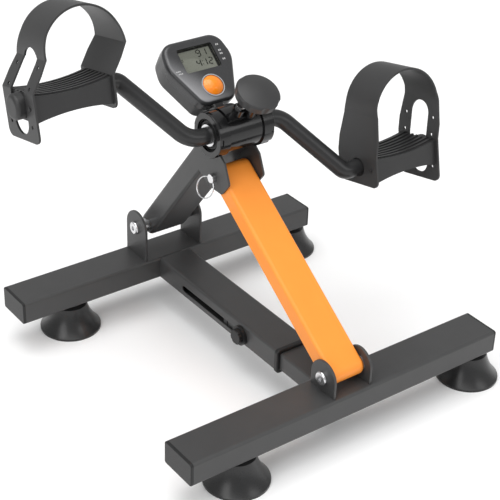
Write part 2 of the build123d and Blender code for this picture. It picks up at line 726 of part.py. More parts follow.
# ---------------------------------------------------------------- pedals
TREAD_TOP = 13.0
TREAD_DIP = 4.0
TREAD_BOTTOM = -14.0
RIB_HEIGHT = 1.4
RIB_WIDTH = 3.0
RIB_COUNT = 7
PEG_RADIUS = 2.2
PEG_Y = 21.0
CAP_RADIUS = 13.0
CAP_LENGTH = 11.0


def pedal_frame(side):
    """A pedal's plane: x outboard along the spindle, z square to the tread."""
    tilt = radians(PEDAL_TILT)
    spindle = (HUB[0] - side * CRANK_THROW[0], HUB[1] - side * CRANK_THROW[1])
    return Plane(origin=(side * PEDAL_X, *spindle), x_dir=(side, 0, 0), z_dir=(0, -sin(tilt), cos(tilt)))


def side_view(frame, offset=0.0):
    """A plane through the pedal that shows its length and height: x outboard, y up."""
    flank = Plane(origin=frame.origin, x_dir=frame.x_dir, z_dir=-frame.y_dir)
    return flank.offset(offset)


def end_view(frame, offset=0.0):
    """A plane square to the spindle: x across the tread, y up, facing outboard."""
    end = Plane(origin=frame.origin, x_dir=frame.y_dir, z_dir=frame.x_dir)
    return end.offset(offset)


def tread_outline(rise):
    """The pedal body's side outline, with its dished top raised by the given height."""
    with BuildSketch() as outline:
        with BuildLine():
            top = ThreePointArc(
                (-PEDAL_HALF, TREAD_TOP + rise),
                (0, TREAD_TOP - TREAD_DIP + rise),
                (PEDAL_HALF, TREAD_TOP + rise),
            )
            outer = Line(top @ 1, (PEDAL_HALF, TREAD_BOTTOM))
            under = ThreePointArc(outer @ 1, (0, TREAD_BOTTOM + TREAD_DIP), (-PEDAL_HALF, TREAD_BOTTOM))
            Line(under @ 1, top @ 0)
        make_face()
    return outline.sketch


def pedal_body(name, side):
    """The moulded tread: dished, ribbed along its length, bored for the spindle."""
    frame = pedal_frame(side)
    rib_pitch = (PEDAL_DEPTH - 12) / (RIB_COUNT - 1)
    with BuildPart() as body:
        with BuildSketch(side_view(frame)):
            add(tread_outline(0))
        extrude(amount=PEDAL_DEPTH / 2, both=True)
        for index in range(RIB_COUNT):
            rib_y = (index - (RIB_COUNT - 1) / 2) * rib_pitch
            with BuildSketch(side_view(frame, rib_y)):
                add(tread_outline(RIB_HEIGHT))
            extrude(amount=RIB_WIDTH / 2, both=True)
        for face_x in (-PEDAL_HALF, PEDAL_HALF):
            with BuildSketch(end_view(frame, face_x)):
                with Locations((-PEG_Y, 0), (PEG_Y, 0)):
                    Circle(PEG_RADIUS)
            extrude(amount=(STRAP_THICKNESS + 1.2) * (1 if face_x > 0 else -1))
        with BuildSketch(end_view(frame, -PEDAL_HALF - 1)):
            Circle(SPINDLE_RADIUS + RUNNING_GAP)
        extrude(amount=2 * PEDAL_HALF + 2, mode=Mode.SUBTRACT)
    save(body, name)


STRAP_SHOULDER = {-1: 43.0, 1: 55.0}  # height at which each strap's sides turn into its arch
STRAP_LEAN = {-1: 19.0, 1: 8.0}  # how far each strap's arch has settled towards +X
STRAP_UPRIGHT = 15.0  # height up to which the sides stand square against the tread's ends
STRAP_HALF = 31.0
STRAP_TOP_HALF = 24.5
STRAP_OUTER_BOTTOM = -34.0
STRAP_INNER_BOTTOM = -19.0
STRAP_CORNER = 8.0
STRAP_WINDOW = (80.0, 27.4)
STRAP_WINDOW_Z = 12.0
STRAP_HOLE_RADIUS = 1.9
STRAP_HOLE_PITCH = 18.0
STRAP_ROD_HOLE = ROD_RADIUS + 1.0


def strap_side(half, shoulder, lean, bottom, side):
    """One strap side's line from its bottom end up to the arch, side being -1 inboard, 1 outboard."""
    return ((side * half, bottom), (side * half, STRAP_UPRIGHT), (side * half + lean, shoulder))


def strap_arch(hand):
    """The strap's line seen along the pedal: two leaning sides joined by an arch."""
    outer = PEDAL_HALF + STRAP_THICKNESS
    inner = PEDAL_HALF
    lean = hand * STRAP_LEAN[hand]
    shoulder = STRAP_SHOULDER[hand]
    with BuildSketch() as arch:
        with BuildLine():
            Polyline(*strap_side(outer, shoulder, lean, STRAP_INNER_BOTTOM, -1))
            ThreePointArc((lean - outer, shoulder), (lean, shoulder + outer), (lean + outer, shoulder))
            Polyline(*strap_side(outer, shoulder, lean, STRAP_OUTER_BOTTOM, 1))
            Line((outer, STRAP_OUTER_BOTTOM), (inner, STRAP_OUTER_BOTTOM))
            Polyline(*strap_side(inner, shoulder, lean, STRAP_OUTER_BOTTOM, 1))
            ThreePointArc((lean - inner, shoulder), (lean, shoulder + inner), (lean + inner, shoulder))
            Polyline(*strap_side(inner, shoulder, lean, STRAP_INNER_BOTTOM, -1))
            Line((-inner, STRAP_INNER_BOTTOM), (-outer, STRAP_INNER_BOTTOM))
        make_face()
    return arch.sketch


def strap_width(top):
    """The strap's flattened outline: wide beside the tread, narrower over the foot."""
    lower = STRAP_UPRIGHT + 15
    upper = STRAP_UPRIGHT + 50
    front = ((STRAP_HALF, STRAP_OUTER_BOTTOM), (STRAP_HALF, lower), (STRAP_TOP_HALF, upper), (STRAP_TOP_HALF, top))
    back = [(-y, z) for y, z in reversed(front)]
    with BuildSketch() as outline:
        with BuildLine():
            Polyline(*front, *back, close=True)
        make_face()
    return outline.sketch


def pedal_strap(name, side):
    """The foot strap: a moulded band over the foot, windowed and holed on its outboard side."""
    frame = pedal_frame(side)
    reach = PEDAL_HALF + STRAP_LEAN[side] + 2 * STRAP_THICKNESS
    with BuildPart() as strap:
        with BuildSketch(side_view(frame)):
            add(strap_arch(side))
        extrude(amount=STRAP_HALF, both=True)
        with BuildSketch(end_view(frame, -reach)):
            add(strap_width(STRAP_SHOULDER[side] + reach))
        extrude(amount=2 * reach, mode=Mode.INTERSECT)
        corners = strap.edges().filter_by(Axis.X).filter_by(
            lambda edge: frame.to_local_coords(edge.center()).Z < STRAP_INNER_BOTTOM / 2
        )
        fillet(corners, STRAP_CORNER)
        with BuildSketch(end_view(frame, PEDAL_HALF / 2)):
            with Locations((0, STRAP_WINDOW_Z)):
                SlotOverall(*STRAP_WINDOW, rotation=90)
            for row in (-1, 0, 1, 2):
                with Locations((-PEG_Y, row * STRAP_HOLE_PITCH), (PEG_Y, row * STRAP_HOLE_PITCH)):
                    Circle(STRAP_HOLE_RADIUS if row else PEG_RADIUS)
        extrude(amount=PEDAL_HALF, mode=Mode.SUBTRACT)
        with BuildSketch(end_view(frame, -PEDAL_HALF + 1)):
            Circle(STRAP_ROD_HOLE)
            with Locations((-PEG_Y, 0), (PEG_Y, 0)):
                Circle(PEG_RADIUS)
        extrude(amount=-STRAP_THICKNESS - 2, mode=Mode.SUBTRACT)
    save(strap, name)


def pedal_cap(name, side):
    """The domed cap over the spindle's outboard end."""
    frame = pedal_frame(side)
    with BuildPart() as cap:
        with BuildSketch(end_view(frame, PEDAL_HALF)):
            Circle(CAP_RADIUS)
        extrude(amount=CAP_LENGTH)
        far = cap.faces().sort_by(Axis.X)[-1 if side > 0 else 0]
        fillet(far.edges(), 4.0)
        with BuildSketch(end_view(frame, PEDAL_HALF)):
            Circle(CAP_RADIUS - 2)
        extrude(amount=CAP_LENGTH - 3, mode=Mode.SUBTRACT)
    save(cap, name)


def spindle_clips():
    """The retaining clips on the spindles' ends, inside the pedal caps."""
    with BuildPart() as clips:
        for side in (-1, 1):
            with BuildSketch(end_view(pedal_frame(side), PEDAL_HALF + BODY_GAP)):
                Circle(SPINDLE_RADIUS + 3.5)
                Circle(SPINDLE_RADIUS, mode=Mode.SUBTRACT)
            extrude(amount=1.2)
    save(clips, "spindle_clips")


# ---------------------------------------------------------------- console
CONSOLE_LEAN = radians(CONSOLE_TILT)
CONSOLE_FACE = Plane(
    origin=(CONSOLE_X, *CONSOLE_CENTRE),
    x_dir=(1, 0, 0),
    z_dir=(0, -sin(CONSOLE_LEAN), cos(CONSOLE_LEAN)),
)
# Corners of the face's outline on its right side, about the display's middle, with the
# radius each corner is rounded to.
FACE_CORNERS = ((35.0, 24.5, 16.0), (41.0, -4.0, 26.0), (20.5, -52.0, 13.0))
FRONT_DEPTH = 13.0
BACK_DEPTH = 20.0
WINDOW = (43.0, 28.0)
BUTTON_Y = -33.0
BUTTON_HOLE = BUTTON_RADIUS + 0.5
BUTTON_TRAVEL = 1.5
LENS_DEPTH = 1.2
PANEL_DEPTH = 3.0
BOARD_DEPTH = 1.6
PANEL_TOP = CONSOLE_WALL + LENS_DEPTH
BOARD_TOP = PANEL_TOP + PANEL_DEPTH
FLOOR_DEPTH = FRONT_DEPTH + BACK_DEPTH - CONSOLE_WALL  # inner face of the back shell
BATTERY_RADIUS = 5.2
BATTERY_LENGTH = 44.0
DOOR = (18.0, 52.0)


def face_outline(inset=0.0):
    """The console's egg-shaped outline, drawn inwards by the inset."""
    corners = [(x, y) for x, y, radius in FACE_CORNERS]
    mirrored = [(-x, y) for x, y in reversed(corners)]
    with BuildSketch() as outline:
        with BuildLine():
            Polyline(*corners, *mirrored, close=True)
        make_face()
        for x, y, radius in FACE_CORNERS:
            rounded = [corner for corner in outline.vertices() if abs(abs(corner.X) - x) + abs(corner.Y - y) < 0.1]
            fillet(rounded, radius)
        if inset:
            offset(amount=-inset, mode=Mode.REPLACE)
    return outline.sketch


def console_front():
    """The upper shell with the display window and the button's hole."""
    with BuildPart() as shell:
        with BuildSketch(CONSOLE_FACE.offset(-FRONT_DEPTH)):
            add(face_outline())
        extrude(amount=FRONT_DEPTH)
        face = shell.faces().sort_by(Axis(CONSOLE_FACE.origin, CONSOLE_FACE.z_dir))[-1]
        fillet(face.edges(), 5.0)
        with BuildSketch(CONSOLE_FACE.offset(-FRONT_DEPTH)):
            add(face_outline(CONSOLE_WALL + 1.5))
        extrude(amount=FRONT_DEPTH - CONSOLE_WALL, mode=Mode.SUBTRACT)
        with BuildSketch(CONSOLE_FACE.offset(-CONSOLE_WALL - 1)):
            RectangleRounded(*WINDOW, 2.0)
            with Locations((0, BUTTON_Y)):
                Circle(BUTTON_HOLE)
        extrude(amount=CONSOLE_WALL + 2, mode=Mode.SUBTRACT)
    save(shell, "console_front")


def back_blank():
    """The outer form of the console's back shell, tapering away from the face."""
    with BuildPart() as blank:
        with BuildSketch(CONSOLE_FACE.offset(-FRONT_DEPTH)):
            add(face_outline())
        extrude(amount=-BACK_DEPTH, taper=8)
        floor = blank.faces().sort_by(Axis(CONSOLE_FACE.origin, CONSOLE_FACE.z_dir))[0]
        fillet(floor.edges(), 3.0)
    return blank.part


BACK_BLANK = back_blank()


def console_back():
    """The lower shell with the battery opening and the posts under the circuit board."""
    with BuildPart() as shell:
        add(BACK_BLANK)
        with BuildSketch(CONSOLE_FACE.offset(-FRONT_DEPTH)):
            add(face_outline(CONSOLE_WALL + 1.5))
        extrude(amount=-BACK_DEPTH + CONSOLE_WALL, taper=8, mode=Mode.SUBTRACT)
        with BuildSketch(CONSOLE_FACE.offset(-FLOOR_DEPTH)):
            with Locations((-17, 8), (17, 8), (-15, -26), (15, -26)):
                Circle(2.5)
        extrude(amount=FLOOR_DEPTH - BOARD_TOP - BOARD_DEPTH)
        with BuildSketch(CONSOLE_FACE.offset(-FLOOR_DEPTH - CONSOLE_WALL - 1)):
            with Locations((0, -8)):
                Rectangle(*DOOR)
        extrude(amount=CONSOLE_WALL + 2, mode=Mode.SUBTRACT)
    save(shell, "console_back")


def console_plate(name, size, centre_y, top_depth, thickness, corner=0.5):
    """A flat rounded plate inside the console, its upper face at the given depth."""
    with BuildPart() as plate:
        with BuildSketch(CONSOLE_FACE.offset(-top_depth - thickness)):
            with Locations((0, centre_y)):
                RectangleRounded(*size, corner)
        extrude(amount=thickness)
    save(plate, name)


def battery():
    """The single cylindrical cell behind the circuit board, with its raised terminal."""
    depth = FLOOR_DEPTH - BATTERY_RADIUS
    start = CONSOLE_FACE.offset(-depth)
    origin = start.origin + start.y_dir * (-8 - BATTERY_LENGTH / 2)
    with BuildPart() as cell:
        with BuildSketch(Plane(origin=origin, x_dir=(1, 0, 0), z_dir=start.y_dir)):
            Circle(BATTERY_RADIUS)
        extrude(amount=BATTERY_LENGTH)
        with BuildSketch(Plane(origin=origin + start.y_dir * BATTERY_LENGTH, x_dir=(1, 0, 0), z_dir=start.y_dir)):
            Circle(1.9)
        extrude(amount=1.0)
    save(cell, "battery")


BUTTON_DOME = 4.5
BUTTON_FLANGE = 1.4
BUTTON_FLANGE_GAP = 0.3
SWITCH_HEIGHT = 0.7
BOARD = (42.0, 54.0)
BOARD_Y = -12.0


def mode_button():
    """The large domed push button with a flange that keeps it in the shell."""
    flange_top = CONSOLE_WALL + BUTTON_FLANGE_GAP
    dome_edge = 0.6
    view = Plane(
        origin=(CONSOLE_FACE.origin + CONSOLE_FACE.y_dir * BUTTON_Y),
        x_dir=(1, 0, 0),
        z_dir=-CONSOLE_FACE.y_dir,
    )
    with BuildPart() as button:
        with BuildSketch(view):
            with BuildLine():
                middle = Line((0, -flange_top - BUTTON_FLANGE), (0, BUTTON_DOME))
                dome = TangentArc((0, BUTTON_DOME), (BUTTON_RADIUS, dome_edge), tangent=(1, 0))
                skirt = Line(dome @ 1, (BUTTON_RADIUS, -flange_top))
                step = Line(skirt @ 1, (BUTTON_RADIUS + 1.8, -flange_top))
                edge = Line(step @ 1, (BUTTON_RADIUS + 1.8, -flange_top - BUTTON_FLANGE))
                Line(edge @ 1, middle @ 0)
            make_face()
        revolve(axis=Axis(view.origin, CONSOLE_FACE.z_dir))
    save(button, "mode_button")


def circuit_board():
    """The board behind the display, with the low switch under the button."""
    with BuildPart() as board:
        with BuildSketch(CONSOLE_FACE.offset(-BOARD_TOP - BOARD_DEPTH)):
            with Locations((0, BOARD_Y)):
                RectangleRounded(*BOARD, 1.0)
        extrude(amount=BOARD_DEPTH)
        with BuildSketch(CONSOLE_FACE.offset(-BOARD_TOP)):
            with Locations((0, BUTTON_Y)):
                Rectangle(8, 8)
        extrude(amount=SWITCH_HEIGHT)
    save(board, "circuit_board")


def button_bezel():
    """The thin bright ring round the button's hole."""
    with BuildPart() as bezel:
        with BuildSketch(CONSOLE_FACE):
            with Locations((0, BUTTON_Y)):
                Circle(BUTTON_HOLE + 1.3)
                Circle(BUTTON_HOLE + 0.1, mode=Mode.SUBTRACT)
        extrude(amount=0.8)
    save(bezel, "button_bezel")


SADDLE_X = (-19.0, 1.5)
SADDLE_RADIUS = 25.4
SADDLE_ANGLES = (-10.0, 132.0)  # about the hub from +Y towards +Z
LUG_X = -5.2
LUG_RADIUS = 6.4
LUG_TOP = 33.5
NECK_HALF_DEPTH = 9.0


def console_bracket():
    """The saddle screwed on the hub barrel, with the neck that carries the console."""
    start, stop = (radians(angle) for angle in SADDLE_ANGLES)
    toward = CONSOLE_FACE.y_dir
    lug_plane = Plane(origin=(LUG_X, *HUB), x_dir=(1, 0, 0), z_dir=KNOB_DIRECTION)
    neck_x = (SADDLE_X[0] + 8, SADDLE_X[1])
    neck_plane = Plane(
        origin=((neck_x[0] + neck_x[1]) / 2, *HUB),
        x_dir=(1, 0, 0),
        z_dir=toward,
    )
    with BuildPart() as bracket:
        with BuildSketch(across(HUB, SADDLE_X[0])):
            with BuildLine():
                outer = CenterArc((0, 0), SADDLE_RADIUS, SADDLE_ANGLES[0], SADDLE_ANGLES[1] - SADDLE_ANGLES[0])
                inner = CenterArc((0, 0), HUB_RADIUS, SADDLE_ANGLES[0], SADDLE_ANGLES[1] - SADDLE_ANGLES[0])
                Line(outer @ 0, inner @ 0)
                Line(outer @ 1, inner @ 1)
            make_face()
        extrude(amount=SADDLE_X[1] - SADDLE_X[0])
        with BuildSketch(neck_plane):
            with Locations((0, 8)):
                RectangleRounded(neck_x[1] - neck_x[0], 2 * NECK_HALF_DEPTH, 2.0)
        extrude(amount=34)
        with BuildSketch(lug_plane):
            Circle(LUG_RADIUS)
        extrude(amount=LUG_TOP)
        with BuildSketch(across(HUB)):
            Circle(HUB_RADIUS)
        extrude(amount=HUB_HALF, both=True, mode=Mode.SUBTRACT)
        add(BACK_BLANK, mode=Mode.SUBTRACT)
        with BuildSketch(CONSOLE_FACE.offset(-FRONT_DEPTH)):
            add(face_outline())
        extrude(amount=2 * FRONT_DEPTH, mode=Mode.SUBTRACT)
        with BuildSketch(lug_plane):
            Circle(2.5)
        extrude(amount=LUG_TOP + 1, mode=Mode.SUBTRACT)
    save(bracket, "console_bracket")


def bracket_screw():
    """The hexagon-head screw that clamps the saddle to the barrel."""
    with BuildPart() as screw:
        head_plane = Plane(
            origin=(LUG_X, HUB[0] + LUG_TOP * KNOB_DIRECTION[1], HUB[1] + LUG_TOP * KNOB_DIRECTION[2]),
            x_dir=(1, 0, 0),
            z_dir=KNOB_DIRECTION,
        )
        with BuildSketch(head_plane):
            RegularPolygon(4.8, 6)
        extrude(amount=3.6)
        with BuildSketch(head_plane):
            Circle(2.5)
        extrude(amount=-(LUG_TOP - HUB_RADIUS))
    save(screw, "bracket_screw")


# ---------------------------------------------------------------- write every piece
REAR_EAR_OUTER_X = REAR_EAR_INNER_X + EAR_THICKNESS
FRONT_EAR_OUTER_X = FRONT_EAR_INNER_X + EAR_THICKNESS
BOLT_BORE = PIVOT_BOLT_RADIUS + RUNNING_GAP
SPACER_IN_X = REAR_LEG_WIDTH / 2 + BODY_GAP
WASHER_IN_X = FRONT_LEG_WIDTH / 2 + BODY_GAP

for end, bar_y in (("rear", BAR_Y), ("front", -BAR_Y)):
    crossbar(f"{end}_crossbar", bar_y)
    bar_plugs(f"{end}_bar_plugs", bar_y)
    suction_foot(f"{end}_left_foot", FOOT_LEFT_X, bar_y)
    suction_foot(f"{end}_right_foot", FOOT_RIGHT_X, bar_y)
    foot_studs(f"{end}_foot_studs", bar_y)
    stud_nuts(f"{end}_stud_nuts", bar_y)

base_sleeve()
sleeve_collar()
base_inner_tube()
inner_tube_glide()
base_knob()
base_knob_nut()

pivot_ears("rear_ears", REAR_PIVOT, REAR_EAR_RADIUS, REAR_EAR_INNER_X)
pivot_bolt("rear_pivot_bolt", REAR_PIVOT, REAR_EAR_OUTER_X)
pivot_nut("rear_pivot_nut", REAR_PIVOT, REAR_EAR_OUTER_X)
ring_at(
    "rear_pivot_spacers",
    REAR_PIVOT,
    ((-REAR_EAR_INNER_X, -SPACER_IN_X), (SPACER_IN_X, REAR_EAR_INNER_X)),
    BUSH_RADIUS,
    PIVOT_BOLT_RADIUS,
)
pivot_ears("front_ears", FRONT_PIVOT, FRONT_EAR_RADIUS, FRONT_EAR_INNER_X)
pivot_bolt("front_pivot_bolt", FRONT_PIVOT, FRONT_EAR_OUTER_X)
pivot_nut("front_pivot_nut", FRONT_PIVOT, FRONT_EAR_OUTER_X)
ring_at(
    "front_pivot_washers",
    FRONT_PIVOT,
    ((-FRONT_EAR_INNER_X, -WASHER_IN_X), (WASHER_IN_X, FRONT_EAR_INNER_X)),
    BUSH_RADIUS + 2,
    PIVOT_BOLT_RADIUS,
)

rear_leg()
ring_at("rear_leg_bush", REAR_PIVOT, ((-REAR_LEG_WIDTH / 2, REAR_LEG_WIDTH / 2),), BUSH_RADIUS, BOLT_BORE)
front_leg()
ring_at("front_leg_bush", FRONT_PIVOT, ((-FRONT_LEG_WIDTH / 2, FRONT_LEG_WIDTH / 2),), BUSH_RADIUS, BOLT_BORE)
top_ears()
lock_pin()
pin_ring()

hub_shell()
hub_collars()
hub_bushes()
brake_shoe()
tension_screw()
tension_knob()

crank()
ring_at(
    "axle_washers",
    HUB,
    ((-HUB_HALF - 1.5, -HUB_HALF + 0.3), (HUB_HALF - 0.3, HUB_HALF + 1.5)),
    11.5,
    ROD_RADIUS,
)
for word, hand in (("left", -1), ("right", 1)):
    pedal_body(f"{word}_pedal_body", hand)
    pedal_strap(f"{word}_pedal_strap", hand)
    pedal_cap(f"{word}_pedal_cap", hand)
spindle_clips()

console_front()
console_back()
console_plate("display_lens", (46.0, 31.0), 0, CONSOLE_WALL, LENS_DEPTH, 1.5)
console_plate("display_panel", (45.0, 30.0), 0, PANEL_TOP, PANEL_DEPTH)
circuit_board()
battery()
console_plate("battery_door", DOOR, -8, FLOOR_DEPTH, CONSOLE_WALL)
mode_button()
button_bezel()
console_bracket()
bracket_screw()
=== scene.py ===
"""Looks for the folding pedal exerciser: finishes, display digits, light, floor and camera."""

import json
from math import cos, radians, sin

import bmesh
import bpy
from mathutils import Matrix, Vector


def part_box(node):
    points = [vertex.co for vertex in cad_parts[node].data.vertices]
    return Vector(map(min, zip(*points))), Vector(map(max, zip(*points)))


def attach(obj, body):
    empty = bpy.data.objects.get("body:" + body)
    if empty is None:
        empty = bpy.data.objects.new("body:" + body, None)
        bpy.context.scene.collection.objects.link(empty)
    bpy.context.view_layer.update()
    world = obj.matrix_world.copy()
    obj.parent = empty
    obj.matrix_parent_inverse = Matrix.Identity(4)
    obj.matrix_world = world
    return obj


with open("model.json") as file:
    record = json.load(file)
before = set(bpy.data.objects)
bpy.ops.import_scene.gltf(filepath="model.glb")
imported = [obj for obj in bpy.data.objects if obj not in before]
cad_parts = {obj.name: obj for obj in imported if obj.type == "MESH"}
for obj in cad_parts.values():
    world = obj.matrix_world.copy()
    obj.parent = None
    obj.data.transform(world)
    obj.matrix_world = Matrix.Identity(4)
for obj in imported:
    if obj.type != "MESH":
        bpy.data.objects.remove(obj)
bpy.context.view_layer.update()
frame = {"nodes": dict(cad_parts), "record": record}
nodes = frame["nodes"]

MM = 0.001


# ---------------------------------------------------------------- materials
def new_material(name):
    """An empty node material with its shader."""
    mat = bpy.data.materials.new(name)
    mat.use_nodes = True
    return mat, mat.node_tree.nodes, mat.node_tree.links, mat.node_tree.nodes["Principled BSDF"]


def mix_colour(tree_nodes, links, factor, low, high):
    """A colour ramp from low to high driven by factor."""
    ramp = tree_nodes.new("ShaderNodeValToRGB")
    ramp.color_ramp.elements[0].color = (*low, 1)
    ramp.color_ramp.elements[1].color = (*high, 1)
    links.new(factor, ramp.inputs["Fac"])
    return ramp.outputs["Color"]


def noise(tree_nodes, links, scale, detail):
    """Noise in object coordinates (metres)."""
    coord = tree_nodes.new("ShaderNodeTexCoord")
    tex = tree_nodes.new("ShaderNodeTexNoise")
    tex.inputs["Scale"].default_value = scale
    tex.inputs["Detail"].default_value = detail
    links.new(coord.outputs["Object"], tex.inputs["Vector"])
    return tex.outputs["Fac"]


def finish_material(
    name, low, high, rough, grain, bump, metallic=0.0, coat=0.0, specular=0.5, wear=45.0
):
    """A solid finish: broad tone drift, varied roughness and a fine grain in the surface."""
    mat, tn, links, bsdf = new_material(name)
    broad = noise(tn, links, wear, 3.0)
    links.new(mix_colour(tn, links, broad, low, high), bsdf.inputs["Base Color"])
    fine = noise(tn, links, grain, 2.0)
    spread = tn.new("ShaderNodeMapRange")
    spread.inputs["To Min"].default_value = rough[0]
    spread.inputs["To Max"].default_value = rough[1]
    links.new(fine, spread.inputs["Value"])
    links.new(spread.outputs["Result"], bsdf.inputs["Roughness"])
    relief = tn.new("ShaderNodeBump")
    relief.inputs["Strength"].default_value = bump
    relief.inputs["Distance"].default_value = 0.0002
    links.new(fine, relief.inputs["Height"])
    links.new(relief.outputs["Normal"], bsdf.inputs["Normal"])
    bsdf.inputs["Metallic"].default_value = metallic
    bsdf.inputs["Coat Weight"].default_value = coat
    bsdf.inputs["Coat Roughness"].default_value = 0.12
    bsdf.inputs["Specular IOR Level"].default_value = specular
    return mat


def glass_material(name, tint):
    """A clear moulded window with a faint tone drift, see-through so that the digits read."""
    mat, tn, links, bsdf = new_material(name)
    drift = noise(tn, links, 60, 2.0)
    paler = tuple(min(1.0, channel * 1.04) for channel in tint)
    links.new(mix_colour(tn, links, drift, tint, paler), bsdf.inputs["Base Color"])
    bsdf.inputs["Roughness"].default_value = 0.08
    bsdf.inputs["Alpha"].default_value = 0.07
    bsdf.inputs["IOR"].default_value = 1.46
    return mat


grey = finish_material(
    "powder_grey", (0.040, 0.040, 0.0405), (0.049, 0.049, 0.0495),
    (0.34, 0.46), 2600, 0.22, specular=0.45
)
orange = finish_material(
    "powder_orange", (0.93, 0.290, 0.036), (0.97, 0.315, 0.042),
    (0.32, 0.42), 1500, 0.10, specular=0.35
)
enamel = finish_material(
    "black_enamel", (0.015, 0.015, 0.0155), (0.021, 0.021, 0.0215),
    (0.28, 0.38), 1200, 0.10, specular=0.42
)
black = finish_material(
    "black_moulding", (0.009, 0.009, 0.0095), (0.014, 0.014, 0.0145),
    (0.36, 0.48), 3200, 0.22, specular=0.35
)
gloss = finish_material(
    "gloss_black", (0.005, 0.005, 0.0055), (0.008, 0.008, 0.0085),
    (0.12, 0.22), 900, 0.05, coat=0.15, specular=0.4
)
pedal = finish_material(
    "pedal_moulding", (0.022, 0.022, 0.0225), (0.030, 0.030, 0.0305),
    (0.38, 0.5), 2400, 0.20, specular=0.4
)
strap = finish_material(
    "strap_pvc", (0.026, 0.026, 0.0265), (0.035, 0.035, 0.0355),
    (0.38, 0.5), 1800, 0.14, specular=0.42
)
rubber = finish_material(
    "foot_rubber", (0.014, 0.014, 0.0145), (0.021, 0.021, 0.0215),
    (0.24, 0.34), 1500, 0.10, specular=0.45
)
knob = finish_material(
    "knob_moulding", (0.028, 0.028, 0.0285), (0.037, 0.037, 0.0375),
    (0.38, 0.5), 3400, 0.25, specular=0.4
)
zinc = finish_material(
    "bright_zinc", (0.62, 0.62, 0.63), (0.78, 0.78, 0.79),
    (0.16, 0.30), 1400, 0.10, metallic=1.0
)
bronze = finish_material(
    "sintered_bronze", (0.40, 0.27, 0.12), (0.50, 0.35, 0.17),
    (0.35, 0.5), 3000, 0.15, metallic=1.0
)
shell = finish_material(
    "console_grey", (0.026, 0.0265, 0.028), (0.036, 0.0365, 0.038),
    (0.22, 0.31), 4200, 0.10, coat=0.25, specular=0.4, wear=18
)
shell_back = finish_material(
    "console_black", (0.012, 0.012, 0.013), (0.018, 0.018, 0.019),
    (0.32, 0.42), 2600, 0.18, specular=0.4
)
panel = finish_material(
    "lcd_panel", (0.175, 0.182, 0.150), (0.190, 0.198, 0.164),
    (0.45, 0.55), 2200, 0.04, specular=0.2
)
# Dark ink for the display digits and marks, also used for the painted window shadow round the
# display.
ink_and_window_shadow = finish_material(
    "lcd_ink_and_window_shadow", (0.006, 0.006, 0.005), (0.010, 0.010, 0.008),
    (0.6, 0.7), 2000, 0.03, specular=0.1
)
label = finish_material(
    "label_white", (0.42, 0.42, 0.42), (0.50, 0.50, 0.50),
    (0.4, 0.5), 2400, 0.05
)
orange_button = finish_material(
    "button_orange", (0.96, 0.245, 0.010), (1.0, 0.280, 0.015),
    (0.14, 0.22), 900, 0.04, coat=0.3, specular=0.4
)
board = finish_material(
    "board_green", (0.02, 0.11, 0.045), (0.03, 0.14, 0.06),
    (0.35, 0.5), 1800, 0.08
)
cell = finish_material(
    "cell_sleeve", (0.30, 0.30, 0.31), (0.38, 0.38, 0.39),
    (0.25, 0.35), 1500, 0.06, metallic=0.6
)


MIX_FACTOR, MIX_FIRST, MIX_SECOND, MIX_RESULT = 0, 6, 7, 2  # colour sockets of the mix node


def add_painted_highlight(mat, light, spread, facing):
    """A painted highlight: a paler colour painted on the low, -X part of a moulding, only where its
    skin faces one way, standing in for light on that face.
    """
    tn, links = mat.node_tree.nodes, mat.node_tree.links
    bsdf = tn["Principled BSDF"]
    base = bsdf.inputs["Base Color"].links[0].from_socket
    coord = tn.new("ShaderNodeTexCoord")
    split = tn.new("ShaderNodeSeparateXYZ")
    across_up = tn.new("ShaderNodeMath")
    across_up.operation = "ADD"
    highlight_band = tn.new("ShaderNodeMapRange")
    highlight_band.interpolation_type = "SMOOTHSTEP"
    highlight_band.inputs["From Min"].default_value = spread[0]
    highlight_band.inputs["From Max"].default_value = spread[1]
    highlight_band.inputs["To Min"].default_value = 1.0
    highlight_band.inputs["To Max"].default_value = 0.0
    highlight_blend = tn.new("ShaderNodeMix")
    highlight_blend.data_type = "RGBA"
    highlight_blend.inputs[MIX_SECOND].default_value = (*light, 1)
    links.new(coord.outputs["Generated"], split.inputs["Vector"])
    links.new(split.outputs["X"], across_up.inputs[0])
    links.new(split.outputs["Z"], across_up.inputs[1])
    links.new(across_up.outputs["Value"], highlight_band.inputs["Value"])
    facing_dot = tn.new("ShaderNodeVectorMath")
    facing_dot.operation = "DOT_PRODUCT"
    facing_dot.inputs[1].default_value = facing
    mask = tn.new("ShaderNodeMapRange")
    mask.interpolation_type = "SMOOTHSTEP"
    mask.inputs["From Min"].default_value = 0.80
    mask.inputs["From Max"].default_value = 0.97
    both = tn.new("ShaderNodeMath")
    both.operation = "MULTIPLY"
    links.new(coord.outputs["Normal"], facing_dot.inputs[0])
    links.new(facing_dot.outputs["Value"], mask.inputs["Value"])
    links.new(highlight_band.outputs["Result"], both.inputs[0])
    links.new(mask.outputs["Result"], both.inputs[1])
    links.new(both.outputs["Value"], highlight_blend.inputs[MIX_FACTOR])
    links.new(base, highlight_blend.inputs[MIX_FIRST])
    links.new(highlight_blend.outputs[MIX_RESULT], bsdf.inputs["Base Color"])


# Painted highlight on the console face: a pale patch painted into its colour towards the lower left,
# where light falls on the face.
add_painted_highlight(shell, (0.30, 0.30, 0.31), (0.40, 1.05), (0, -0.6293, 0.7771))
lens = glass_material("lens_clear", (0.10, 0.105, 0.10))

BY_SLOT = {
    "grey": grey,
    "orange": orange,
    "black_metal": enamel,
    "black_plastic": black,
    "gloss_black": gloss,
    "pedal_plastic": pedal,
    "strap": strap,
    "foot_rubber": rubber,
    "knob_plastic": knob,
    "zinc": zinc,
    "bronze": bronze,
    "console": shell,
    "console_back": shell_back,
    "lens": lens,
    "lcd": panel,
    "button": orange_button,
    "pcb": board,
    "cell": cell,
}
SHARP = radians(28)

for entry in frame["record"]["subparts"]:
    node = nodes[entry["node"]]
    if node.data.materials:
        node.data.materials[0] = BY_SLOT[entry["material_slot"]]
    else:
        node.data.materials.append(BY_SLOT[entry["material_slot"]])


